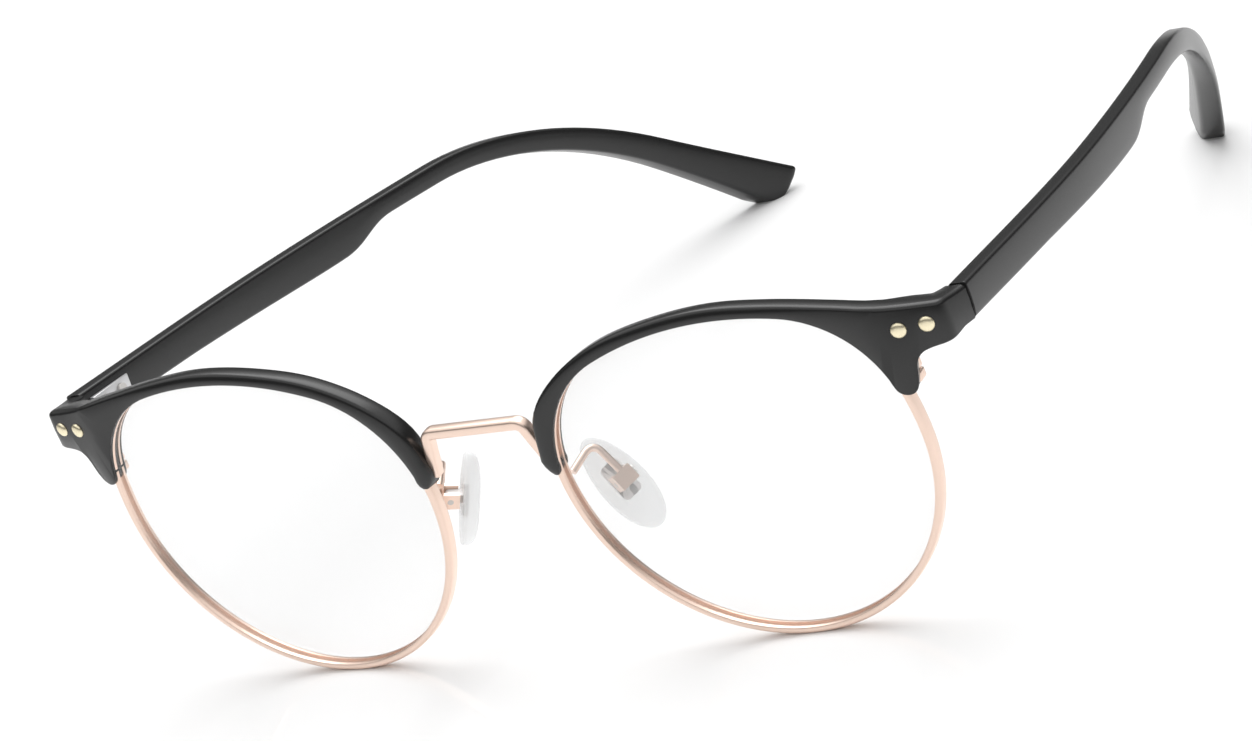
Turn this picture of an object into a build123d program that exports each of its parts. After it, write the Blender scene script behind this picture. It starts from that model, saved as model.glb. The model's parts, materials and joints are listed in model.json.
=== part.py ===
from build123d import *
import math
import os

os.makedirs("parts", exist_ok=True)

# Half rim eyeglasses, in millimetres. +X is the wearer's left, +Y runs back along the temples, +Z is up.
# Shapes are drawn in worn coordinates: temples level, origin midway between the lenses at their widest
# line, on the front face of the rims. The stance then leans the whole pair back until it stands on both
# rims and both temple tips, with the origin on the floor under the middle of the bounding box.
# Only the wearer's left side is drawn. The right side is its mirror image.

# stance
STANCE_ANGLE = 5.725
STAND_SHIFT = (0, -66.609, 25.981)

# lenses and rims
LENS_X = 35.75
LENS_RADIUS = 25.0
WRAP = 2.85
TILT = 7.9
RIM_WALL = 1.0
RIM_DEPTH = 1.8
GROOVE_DEPTH = 0.5
GROOVE_WIDTH = 0.8
LENS_CURVE = 260.0
LENS_THICKNESS = 1.6
LENS_CROWN = 0.6
LENS_PLAY = 0.06

# brows
FRONT_LIP = 0.6
REAR_LIP = 0.4
BROW_DEPTH = FRONT_LIP + RIM_DEPTH + REAR_LIP
BREAK_U = 24.5
END_WRAP = 13.0
SEAM_Y = 6.6
SEAM_GAP = 0.2
SEAM_INNER_U = 31.6
TEMPLE_TOP = 16.14

# hinge
PIN_X = 64.8
PIN_Y = 7.0
BARREL_RADIUS = 1.15
PIN_RADIUS = 0.6
PIN_PLAY = 0.03
KNUCKLES = (12.0, 12.95, 13.0, 14.3, 14.35, 15.3)
LEAF_THICKNESS = 0.7
KNUCKLE_ROOT_Y = 3.3
HINGE_HEAD_RADIUS = 0.95

# temples
TEMPLE_THICKNESS = 2.5
TIP_THICKNESS = 1.9
TEMPLE_X = 69.42
TEMPLE_END_Y = 143.1
BEND_Y = 84.2
BEND_RADIUS = 58.8
BEND_ANGLE = 38.5
TIP_RUN = 20.8
TIP_HEIGHT = 5.8
NECK_HEIGHT = 3.0

# nose pads
PAD_CENTRE = (11.6, 8.1, -4.7)
PAD_LONG_AXIS = (0.457, 0.076, -0.885)
PAD_NORMAL = (-0.725, 0.609, -0.322)
PAD_LENGTH = 13.3
PAD_WIDTH = 7.5
PAD_THICKNESS = 2.2
PAD_AXIS_DEPTH = 2.7
LUG_HALF = 0.7
BOX_WALL = 0.6
SCREW_RADIUS = 0.4

STAND = Location(STAND_SHIFT, (-STANCE_ANGLE, 0, 0))


def worn(plane: Plane) -> Plane:
    """Carry a plane from worn coordinates into the standing frame."""
    return Plane(STAND * plane.location)


LEVEL = worn(Plane.XY)
SIDE = worn(Plane.YZ)
BACKWARD = worn(Plane.XZ).z_dir * -1
LENS = worn(Plane(Location((LENS_X, 0, 0), (90 + TILT, WRAP, 0))))
PLAN = worn(Plane(Location((LENS_X, 0, 0), (TILT, 0, WRAP))))
END = Plane(LENS.location * Location((BREAK_U, 0, FRONT_LIP), (0, END_WRAP, 0)))
PAD = worn(Plane(origin=PAD_CENTRE, x_dir=PAD_LONG_AXIS, z_dir=PAD_NORMAL))


def save(name: str, part) -> None:
    """Label a finished piece and write it."""
    part.label = name
    export_step(part, f"parts/{name}.step")


def save_pair(name: str, part) -> None:
    """Write a left piece and its mirror image on the right."""
    save(f"left_{name}", part)
    save(f"right_{name}", mirror(part, about=Plane.YZ))


def lens_outline(grow: float = 0.0, back: float = 0.0) -> Sketch:
    """The lens opening, grown all round, on a plane that far behind the rim's front face."""
    with BuildSketch(LENS.offset(-back)) as outline:
        with BuildLine():
            ThreePointArc((LENS_RADIUS, 0), (0, -LENS_RADIUS), (-LENS_RADIUS, 0))
            shoulder = JernArc((LENS_RADIUS, 0), (0, 1), 36.75, 8.6)
            corner = JernArc(shoulder @ 1, shoulder % 1, 14.85, 69.9)
            crown = JernArc(corner @ 1, corner % 1, 48.9, 32.2)
            TangentArc(crown @ 1, (-LENS_RADIUS, 0), tangent=crown % 1)
        make_face()
        if grow:
            offset(amount=grow)
    return outline.sketch


# ---- lenses and rims ----

OPENING = lens_outline()
RIM_OUTLINE = lens_outline(RIM_WALL)
GROOVE_BACK = (RIM_DEPTH - GROOVE_WIDTH) / 2
BLOCK_SPLIT = 7.05
SLIT = 0.2

with BuildPart() as rim:
    extrude(RIM_OUTLINE, amount=-RIM_DEPTH)
    extrude(OPENING, amount=-RIM_DEPTH, mode=Mode.SUBTRACT)
    extrude(lens_outline(GROOVE_DEPTH, GROOVE_BACK), amount=-GROOVE_WIDTH, mode=Mode.SUBTRACT)
    with BuildSketch(LENS):
        with Locations((LENS_RADIUS, BLOCK_SPLIT)):
            Rectangle(6, SLIT)
    extrude(amount=-RIM_DEPTH, mode=Mode.SUBTRACT)
save_pair("rim", rim.part)

with BuildPart() as lens:
    extrude(lens_outline(-LENS_PLAY, -LENS_CROWN), amount=-(LENS_CROWN + RIM_DEPTH + 1))
    with Locations(LENS.offset(LENS_CROWN - LENS_CURVE)):
        Sphere(LENS_CURVE, mode=Mode.INTERSECT)
        Sphere(LENS_CURVE - LENS_THICKNESS, mode=Mode.SUBTRACT)
    extrude(
        lens_outline(GROOVE_DEPTH - LENS_PLAY, GROOVE_BACK + LENS_PLAY)
        - lens_outline(-1.0, GROOVE_BACK + LENS_PLAY),
        amount=-(GROOVE_WIDTH - 2 * LENS_PLAY),
    )
save_pair("lens", lens.part)

# ---- closing blocks: the split ends of each rim, drawn together by one screw ----

BLOCK_FRONT = RIM_DEPTH
BLOCK_DEPTH = 2.1
BLOCK_U = 24.9
BLOCK_WIDTH = 2.5
BLOCK_HEIGHT = 1.75
CLOSING_SCREW_RADIUS = 0.5
CLOSING_HEAD_RADIUS = 0.85
SCREW_TIP = 0.2
SCREW_HEAD_HEIGHT = 0.5
SLOT_WIDTH = 0.25
SLOT_DEPTH = 0.2
BLOCK_AXIS = (BLOCK_U + BLOCK_WIDTH / 2 + 0.1, BLOCK_FRONT + BLOCK_DEPTH / 2)


def closing_block(low: float) -> Part:
    """One half of the closing block, from that height up, bored for the screw."""
    with BuildPart() as block:
        with BuildSketch(PLAN.offset(low)):
            with Locations((BLOCK_U, BLOCK_FRONT)):
                Rectangle(BLOCK_WIDTH, BLOCK_DEPTH, align=(Align.MIN, Align.MIN))
            with Locations(BLOCK_AXIS):
                Circle(CLOSING_SCREW_RADIUS, mode=Mode.SUBTRACT)
        extrude(amount=BLOCK_HEIGHT)
    return block.part


save_pair("closing_block_lower", closing_block(BLOCK_SPLIT - SLIT / 2 - BLOCK_HEIGHT))
save_pair("closing_block_upper", closing_block(BLOCK_SPLIT + SLIT / 2))

with BuildPart() as closing_screw:
    with BuildSketch(PLAN.offset(BLOCK_SPLIT - SLIT / 2 - BLOCK_HEIGHT - SCREW_TIP)):
        with Locations(BLOCK_AXIS):
            Circle(CLOSING_SCREW_RADIUS)
    extrude(amount=2 * BLOCK_HEIGHT + SLIT + SCREW_TIP)
    with BuildSketch(PLAN.offset(BLOCK_SPLIT + SLIT / 2 + BLOCK_HEIGHT)):
        with Locations(BLOCK_AXIS):
            Circle(CLOSING_HEAD_RADIUS)
    extrude(amount=SCREW_HEAD_HEIGHT)
    with BuildSketch(PLAN.offset(BLOCK_SPLIT + SLIT / 2 + BLOCK_HEIGHT + SCREW_HEAD_HEIGHT - SLOT_DEPTH)):
        with Locations(BLOCK_AXIS):
            Rectangle(3 * CLOSING_HEAD_RADIUS, SLOT_WIDTH)
    extrude(amount=SLOT_DEPTH, mode=Mode.SUBTRACT)
save_pair("closing_screw", closing_screw.part)

# ---- bridge: one bar from rim to rim, turned down sharply at both ends ----

BRIDGE_HEIGHT = 1.5
BRIDGE_DEPTH = 1.7
BRIDGE_BACK_Y = -0.5
BRIDGE_CORNER = (7.3, 8.15)
BRIDGE_FOOT = (11.4, 3.3)
BRIDGE_BEND = 1.2
BRIDGE_EDGE = 0.4
RIM_SLAB = extrude(RIM_OUTLINE, amount=RIM_DEPTH, both=True)
RIGHT_RIM_SLAB = mirror(RIM_SLAB, about=Plane.YZ)


def bridge_bar(grow: float = 0.0) -> Part:
    """The bar before its ends are cut to the rims, grown all round for the notches in the brows."""
    with BuildPart() as bar:
        with BuildSketch(worn(Plane.XZ.offset(-BRIDGE_BACK_Y - grow))):
            with BuildLine():
                FilletPolyline(
                    (-BRIDGE_FOOT[0], BRIDGE_FOOT[1]), (-BRIDGE_CORNER[0], BRIDGE_CORNER[1]),
                    BRIDGE_CORNER, BRIDGE_FOOT, radius=BRIDGE_BEND,
                )
                offset(amount=BRIDGE_HEIGHT / 2 + grow)
            make_face()
        extrude(amount=BRIDGE_DEPTH + 2 * grow)
    return bar.part


with BuildPart() as bridge:
    add(bridge_bar())
    fillet(bridge.edges().filter_by(worn(Plane.XZ)), BRIDGE_EDGE)
    add([RIM_SLAB, RIGHT_RIM_SLAB], mode=Mode.SUBTRACT)
save("bridge", bridge.part)

# ---- brows: black plastic browlines that take the rims in a channel ----

CHANNEL_PLAY = 0.03
POCKET_PLAY = 0.3

with BuildPart() as brow_body:
    with BuildSketch(LENS.offset(FRONT_LIP + 1)):
        with BuildLine():
            crease = Spline(
                (-27.2, 3.2), (-25.6, 9.5), (-20.6, 14.3), (-13.4, 17.9), (-5.0, 19.8), (3.4, 20.5),
                (11.4, 19.8), (20.2, 18.3), (27.3, 16.9), (36.0, 15.9),
                tangents=((-0.05, 1), (1, -0.03)),
            )
            side = Line(crease @ 1, (36.0, 11.0))
            under = Line(side @ 1, (30.2, 10.6))
            notch = ThreePointArc(under @ 1, (28.7, 10.0), (28.1, 8.8))
            lobe = Line(notch @ 1, (27.9, 7.4))
            tip = ThreePointArc(lobe @ 1, (26.4, 5.9), (25.0, 6.9))
            Polyline(tip @ 1, (0, 0), (-25.0, 2.2))
            ThreePointArc((-25.0, 2.2), (-26.3, 0.7), crease @ 0)
        make_face()
    extrude(amount=14, dir=BACKWARD)
    with BuildSketch(PLAN.offset(-5)):
        with BuildLine():
            Polyline(
                (-30, -FRONT_LIP), (BREAK_U, -FRONT_LIP), (32.9, 1.34), (33.4, 2.4), (34.15, 9.4),
                (SEAM_INNER_U, 9.4), (30.5, 4.2), (29.9, 3.45), (BREAK_U, BROW_DEPTH - FRONT_LIP),
                (-30, BROW_DEPTH - FRONT_LIP), (-30, -FRONT_LIP),
            )
        make_face()
    extrude(amount=30, mode=Mode.INTERSECT)
    extrude(OPENING, amount=12, both=True, mode=Mode.SUBTRACT)
    extrude(lens_outline(RIM_WALL + CHANNEL_PLAY), amount=-RIM_DEPTH, mode=Mode.SUBTRACT)
    with BuildSketch(worn(Plane.XZ.offset(-SEAM_Y))):
        Rectangle(200, 200)
    extrude(amount=-20, mode=Mode.SUBTRACT)
    add(bridge_bar(CHANNEL_PLAY), mode=Mode.SUBTRACT)
    with BuildSketch(PLAN.offset(BLOCK_SPLIT - BLOCK_HEIGHT - POCKET_PLAY)):
        with Locations((BLOCK_U - 1, BLOCK_FRONT - 0.1)):
            Rectangle(BLOCK_WIDTH + 1 + POCKET_PLAY, BLOCK_DEPTH, align=(Align.MIN, Align.MIN))
    extrude(amount=2 * (BLOCK_HEIGHT + POCKET_PLAY) + SCREW_HEAD_HEIGHT, mode=Mode.SUBTRACT)

# ---- rivets: two gold heads on each brow's end, the inner one through the hinge leaf ----

RIVET_PLACES = ((3.1, 13.65), (6.6, 13.55))
RIVET_HEAD = 1.0
RIVET_RISE = 0.35
RIVET_SHANK = 0.6
RIVET_LENGTHS = (BROW_DEPTH + LEAF_THICKNESS + 0.2, 2.2)

with BuildPart() as rivets:
    for place, length in zip(RIVET_PLACES, RIVET_LENGTHS):
        with BuildSketch(END):
            with Locations(place):
                Circle(RIVET_HEAD)
        extrude(amount=RIVET_RISE)
        with BuildSketch(END):
            with Locations(place):
                Circle(RIVET_SHANK)
        extrude(amount=-length)
    fillet(rivets.edges().group_by(Axis(END.origin, END.z_dir))[-1], 0.25)
save_pair("rivets", rivets.part)

with BuildPart() as brow:
    add(brow_body.part)
    add(rivets.part, mode=Mode.SUBTRACT)
save_pair("brow", brow.part)

# ---- hinges: three knuckles on a screw, two on the front leaf and one on the temple leaf ----

with BuildPart() as front_hinge:
    with BuildSketch(END.offset(-BROW_DEPTH * math.cos(math.radians(END_WRAP)))):
        with Locations((3.75, 13.6)):
            Rectangle(4.3, 3.4)
    extrude(amount=-LEAF_THICKNESS)
    for low, high in (KNUCKLES[0:2], KNUCKLES[4:6]):
        with BuildSketch(worn(Plane.XY.offset(low))):
            with Locations((PIN_X, PIN_Y)):
                Circle(BARREL_RADIUS)
            with Locations((PIN_X - BARREL_RADIUS + 0.1, KNUCKLE_ROOT_Y)):
                Rectangle(2 * BARREL_RADIUS - 0.2, PIN_Y - KNUCKLE_ROOT_Y, align=(Align.MIN, Align.MIN))
            with Locations((PIN_X, PIN_Y)):
                Circle(PIN_RADIUS, mode=Mode.SUBTRACT)
        extrude(amount=high - low)
    add(rivets.part, mode=Mode.SUBTRACT)
    add(brow.part, mode=Mode.SUBTRACT)
save_pair("front_hinge", front_hinge.part)

with BuildPart() as hinge_screw:
    with BuildSketch(worn(Plane.XY.offset(KNUCKLES[0] - SCREW_TIP))):
        with Locations((PIN_X, PIN_Y)):
            Circle(PIN_RADIUS)
    extrude(amount=KNUCKLES[5] - KNUCKLES[0] + SCREW_TIP)
    with BuildSketch(worn(Plane.XY.offset(KNUCKLES[5]))):
        with Locations((PIN_X, PIN_Y)):
            Circle(HINGE_HEAD_RADIUS)
    extrude(amount=SCREW_HEAD_HEIGHT)
    with BuildSketch(worn(Plane.XY.offset(KNUCKLES[5] + SCREW_HEAD_HEIGHT - SLOT_DEPTH))):
        with Locations((PIN_X, PIN_Y)):
            Rectangle(3 * HINGE_HEAD_RADIUS, SLOT_WIDTH)
    extrude(amount=SLOT_DEPTH, mode=Mode.SUBTRACT)
save_pair("hinge_screw", hinge_screw.part)

# ---- temples: level from the hinge, bent down behind the ear and in towards the head ----

TEMPLE_START_Y = SEAM_Y + SEAM_GAP
INNER_X = TEMPLE_X - TEMPLE_THICKNESS
LEAF_FRONT_Y = PIN_Y + 1.05
LEAF_BACK_Y = 16.0
CORE_START_Y = 17.0
CORE_DEPTH = 1.6
CORE_HALF = 0.55
CORE_SHARES = (0.28, 0.72)
TEMPLE_PIN_RADIUS = 0.45


def temple_line(share: float) -> list[tuple[float, float]]:
    """Points of the temple's line from above, at that share of its thickness in from its outer face."""
    outer = (
        (69.6, 3.0, 2), (TEMPLE_X, 10.0, 2), (66.76, 47.6, 7), (60.7, BEND_Y, 13),
        (54.8, 104.1, 19), (48.0, 119.9, 28), (38.3, 135.2, 36), (32.2, TEMPLE_END_Y, 40),
    )
    taper = (TEMPLE_THICKNESS - TIP_THICKNESS) / TEMPLE_END_Y
    return [
        (x - share * (TEMPLE_THICKNESS - taper * y) / math.cos(math.radians(lean)), y)
        for x, y, lean in outer
    ]


def temple_plan(outer_share: float, inner_share: float) -> Sketch:
    """The temple seen from above, between two shares of its thickness."""
    with BuildSketch(worn(Plane.XY.offset(-30))) as plan:
        with BuildLine():
            outer = Spline(*temple_line(outer_share))
            inner = Spline(*temple_line(inner_share))
            Line(outer @ 0, inner @ 0)
            Line(outer @ 1, inner @ 1)
        make_face()
    return plan.sketch


def bend_point(angle: float, depth: float) -> tuple[float, float]:
    """A point under the temple's top edge, after that many degrees of the bend behind the ear."""
    turn = math.radians(angle)
    radius = BEND_RADIUS - depth
    return (BEND_Y + radius * math.sin(turn), TEMPLE_TOP - BEND_RADIUS + radius * math.cos(turn))


def tip_point(depth: float, short: float = 0.0) -> tuple[float, float]:
    """A point that far under the temple's top edge, at its cut end or short of it."""
    y, z = bend_point(BEND_ANGLE, depth)
    turn = math.radians(BEND_ANGLE)
    run = TIP_RUN - short
    return (y + run * math.cos(turn), z - run * math.sin(turn))


with BuildPart() as core:
    extrude(temple_plan(*CORE_SHARES), amount=60)
    with BuildSketch(SIDE):
        with BuildLine():
            run = Line((CORE_START_Y, TEMPLE_TOP - CORE_DEPTH), (BEND_Y, TEMPLE_TOP - CORE_DEPTH))
            ThreePointArc(run @ 1, bend_point(18, CORE_DEPTH), bend_point(36, CORE_DEPTH))
            offset(amount=CORE_HALF)
        make_face()
    extrude(amount=80, mode=Mode.INTERSECT)

PIN_PLACES = ((10.4, 13.6), (13.8, 13.6))
TEMPLE_LEAF_FACE = INNER_X - 0.75

with BuildPart() as temple_pins:
    with BuildSketch(worn(Plane.YZ.offset(TEMPLE_LEAF_FACE))):
        with Locations(PIN_PLACES):
            Circle(TEMPLE_PIN_RADIUS)
    extrude(amount=2.3)
    with BuildSketch(worn(Plane.YZ.offset(TEMPLE_LEAF_FACE))):
        with Locations(PIN_PLACES):
            Circle(0.8)
    extrude(amount=-0.3)
save_pair("temple_pins", temple_pins.part)

with BuildPart() as temple:
    extrude(temple_plan(0, 1), amount=60)
    with BuildSketch(SIDE):
        with BuildLine():
            top = Line((TEMPLE_START_Y, TEMPLE_TOP), (BEND_Y, TEMPLE_TOP))
            bend = ThreePointArc(top @ 1, bend_point(BEND_ANGLE / 2, 0), bend_point(BEND_ANGLE, 0))
            drop = Line(bend @ 1, tip_point(0))
            end = Line(drop @ 1, tip_point(TIP_HEIGHT - 2.6))
            flare = Bezier(
                end @ 1, tip_point(TIP_HEIGHT + 0.5), tip_point(TIP_HEIGHT - 0.4, 6.0),
                bend_point(BEND_ANGLE, 3.7), bend_point(32, 3.4),
            )
            arch = ThreePointArc(flare @ 1, bend_point(16, 3.2), (BEND_Y, TEMPLE_TOP - NECK_HEIGHT))
            neck = Line(arch @ 1, (74.0, TEMPLE_TOP - NECK_HEIGHT))
            step = Bezier(neck @ 1, (69.5, 13.1), (68.0, 11.0), (63.5, 10.8))
            paddle = Bezier(step @ 1, (57.0, 10.6), (44.0, 11.1), (30.0, 11.4))
            Polyline(paddle @ 1, (TEMPLE_START_Y, 11.55), (TEMPLE_START_Y, TEMPLE_TOP))
        make_face()
    extrude(amount=80, mode=Mode.INTERSECT)
    add(core.part, mode=Mode.SUBTRACT)
    add(temple_pins.part, mode=Mode.SUBTRACT)
save_pair("temple", temple.part)
save_pair("temple_core", core.part)

with BuildPart() as temple_hinge:
    with BuildSketch(worn(Plane.XY.offset(KNUCKLES[0] - 0.05))):
        with Locations((TEMPLE_LEAF_FACE, LEAF_FRONT_Y)):
            Rectangle(0.9, LEAF_BACK_Y - LEAF_FRONT_Y, align=(Align.MIN, Align.MIN))
    extrude(amount=KNUCKLES[5] - KNUCKLES[0] + 0.1)
    with BuildSketch(worn(Plane.XY.offset(KNUCKLES[2]))):
        with Locations((PIN_X, PIN_Y)):
            Circle(BARREL_RADIUS)
        with Locations((PIN_X, PIN_Y)):
            Rectangle(INNER_X - PIN_X, 2.4, align=(Align.MIN, Align.MIN))
        with Locations((PIN_X, PIN_Y)):
            Circle(PIN_RADIUS + PIN_PLAY, mode=Mode.SUBTRACT)
    extrude(amount=KNUCKLES[3] - KNUCKLES[2])
    add(temple.part, mode=Mode.SUBTRACT)
    add(temple_pins.part, mode=Mode.SUBTRACT)
save_pair("temple_hinge", temple_hinge.part)

# ---- nose pads: clear pads that rock on a screw in a box at the end of a wire arm ----

BOX_FRONT = PAD_THICKNESS / 2 + 0.4
BOX_BASE = 3.7
BOX_BACK = BOX_BASE + BOX_WALL
BOX_HALF_LENGTH = 1.1
CHEEK = LUG_HALF + 0.05
BOX_HALF = CHEEK + BOX_WALL
PAD_PIVOT = Plane(PAD.location * Location((0, 0, -PAD_AXIS_DEPTH), (90, 0, 0)))

with BuildPart() as pad_insert:
    with BuildSketch(PAD.offset(-PAD_THICKNESS / 2)):
        RectangleRounded(5.2, 2.8, 0.6)
    extrude(amount=0.7)
    with BuildSketch(PAD_PIVOT.offset(-LUG_HALF)):
        with BuildLine():
            Polyline((-0.6, 0), (-0.6, PAD_AXIS_DEPTH - PAD_THICKNESS / 2))
            Line((-0.6, PAD_AXIS_DEPTH - PAD_THICKNESS / 2), (0.6, PAD_AXIS_DEPTH - PAD_THICKNESS / 2))
            Line((0.6, PAD_AXIS_DEPTH - PAD_THICKNESS / 2), (0.6, 0))
            ThreePointArc((0.6, 0), (0, -0.6), (-0.6, 0))
        make_face()
        Circle(SCREW_RADIUS + PIN_PLAY, mode=Mode.SUBTRACT)
    extrude(amount=2 * LUG_HALF)
save_pair("pad_insert", pad_insert.part)

with BuildPart() as nose_pad:
    with BuildSketch(PAD.offset(-PAD_THICKNESS / 2)):
        Ellipse(PAD_LENGTH / 2, PAD_WIDTH / 2)
    extrude(amount=PAD_THICKNESS)
    fillet(nose_pad.edges().group_by(Axis(PAD.origin, PAD.z_dir))[-1], 1.2)
    add(pad_insert.part, mode=Mode.SUBTRACT)
save_pair("nose_pad", nose_pad.part)

with BuildPart() as pad_box:
    with BuildSketch(PAD.offset(-BOX_FRONT)):
        Rectangle(2 * BOX_HALF_LENGTH, 2 * BOX_HALF)
    extrude(amount=-(BOX_BACK - BOX_FRONT))
    with BuildSketch(PAD.offset(-BOX_FRONT)):
        Rectangle(2 * BOX_HALF_LENGTH, 2 * CHEEK)
    extrude(amount=-(BOX_BASE - BOX_FRONT), mode=Mode.SUBTRACT)
    with BuildSketch(PAD_PIVOT.offset(-BOX_HALF)):
        Circle(SCREW_RADIUS)
    extrude(amount=2 * BOX_HALF, mode=Mode.SUBTRACT)
save_pair("pad_box", pad_box.part)

with BuildPart() as pad_screw:
    with BuildSketch(PAD_PIVOT.offset(-BOX_HALF)):
        Circle(SCREW_RADIUS)
    extrude(amount=2 * BOX_HALF)
    with BuildSketch(PAD_PIVOT.offset(BOX_HALF)):
        Circle(0.7)
    extrude(amount=0.4)
    with BuildSketch(PAD_PIVOT.offset(BOX_HALF + 0.2)):
        Rectangle(0.22, 2.0)
    extrude(amount=0.3, mode=Mode.SUBTRACT)
save_pair("pad_screw", pad_screw.part)

ARM_RADIUS = 0.5

with BuildPart() as pad_arm:
    with BuildLine(LEVEL) as wire:
        FilletPolyline((10.1, 0.3, -0.5), (11.6, 5.3, 1.9), (14.0, 5.7, -2.4), radius=1.3)
    with BuildSketch(Plane(wire.line @ 0, z_dir=wire.line % 0)):
        Circle(ARM_RADIUS)
    sweep(path=wire.line)
    add(RIM_SLAB, mode=Mode.SUBTRACT)
    add(pad_box.part, mode=Mode.SUBTRACT)
save_pair("pad_arm", pad_arm.part)
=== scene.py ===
"""Half rim eyeglasses: finished meshes, finishes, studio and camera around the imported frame."""

import json
import logging
from dataclasses import dataclass
from enum import Enum
from math import atan2, cos, pi, radians, sin, sqrt, tan, tau
from typing import Iterable, Optional, Sequence

import bmesh
import bpy
from bmesh.types import BMEdge, BMesh, BMVert
from mathutils import Matrix, Vector
from mathutils.geometry import interpolate_bezier


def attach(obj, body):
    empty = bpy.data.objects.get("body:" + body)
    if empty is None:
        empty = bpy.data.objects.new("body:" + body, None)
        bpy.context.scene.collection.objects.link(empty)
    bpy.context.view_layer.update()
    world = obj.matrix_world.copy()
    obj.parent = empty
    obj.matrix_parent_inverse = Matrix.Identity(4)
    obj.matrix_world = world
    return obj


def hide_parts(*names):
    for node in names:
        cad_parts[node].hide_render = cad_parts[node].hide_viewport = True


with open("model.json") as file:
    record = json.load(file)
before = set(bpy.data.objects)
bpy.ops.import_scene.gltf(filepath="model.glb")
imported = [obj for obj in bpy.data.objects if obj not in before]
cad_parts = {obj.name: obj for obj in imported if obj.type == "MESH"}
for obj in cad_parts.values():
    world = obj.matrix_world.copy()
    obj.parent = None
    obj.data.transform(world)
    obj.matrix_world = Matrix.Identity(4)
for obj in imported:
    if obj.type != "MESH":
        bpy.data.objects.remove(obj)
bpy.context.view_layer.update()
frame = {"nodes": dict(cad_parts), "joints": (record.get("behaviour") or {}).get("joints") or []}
log = logging.getLogger("eyeglasses")

# Shapes are drawn in millimetres on the wearer's left side, with the temples level: +X the wearer's left,
# +Y back along the temples, +Z up. STAND carries them to the frame's own metres.
PIN = Vector((64.8, 7.0, 13.65))
SHARP = radians(38)
TURNS = 40

# Short names for what shapes are listed in. A temple's cut is a top and a bottom point, (back, up), and how
# far its faces are drawn in there.
Pair = tuple[float, float]
Triple = tuple[float, float, float]
Points = Sequence[Vector]
TempleCut = tuple[Vector, Vector, float]


class Side(Enum):
    """The two sides of the wearer's face."""

    LEFT = 1
    RIGHT = -1

    @property
    def prefix(self) -> str:
        """The start of every name on this side."""
        return self.name.lower()


def standing_matrix() -> Matrix:
    """Work out how level temples come to stand on the floor, from the left hinge of the frame.

    Returns:
        The matrix from the drawing's millimetres to the frame's metres.
    """
    hinge = next(j for j in frame["joints"] if j["name"] == "left_temple_hinge")
    axis = Vector(hinge["axis"])
    lean = Matrix.Rotation(-atan2(axis.y, axis.z), 4, "X")
    shift = Vector(hinge["pos_m"]) * 1000 - lean @ PIN
    return Matrix.Scale(0.001, 4) @ Matrix.Translation(shift) @ lean


STAND = standing_matrix()


def share_of(value: float, start: float, end: float) -> float:
    """Tell how far a value has come from start to end, kept between 0 and 1."""
    return min(1.0, max(0.0, (value - start) / (end - start)))


def eased(share: float) -> float:
    """Make a share start and stop gently."""
    return share**2 * (3 - 2 * share)


# ---- finishes ----

GRAIN_BAND = (0.35, 0.65)


def remap(
    tree: bpy.types.NodeTree, source: bpy.types.NodeSocket, before: Pair, after: Pair, kind: str = "LINEAR"
) -> bpy.types.NodeSocket:
    """Map a value from one range to another inside a node tree.

    Args:
        tree: the node tree.
        source: the value.
        before: its range.
        after: the range that it becomes.
        kind: how it goes from one end to the other.

    Returns:
        The mapped value.
    """
    node = tree.nodes.new("ShaderNodeMapRange")
    node.interpolation_type = kind
    for name, value in zip(("From Min", "From Max", "To Min", "To Max"), (*before, *after)):
        node.inputs[name].default_value = value
    tree.links.new(source, node.inputs["Value"])
    return node.outputs["Result"]


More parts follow.
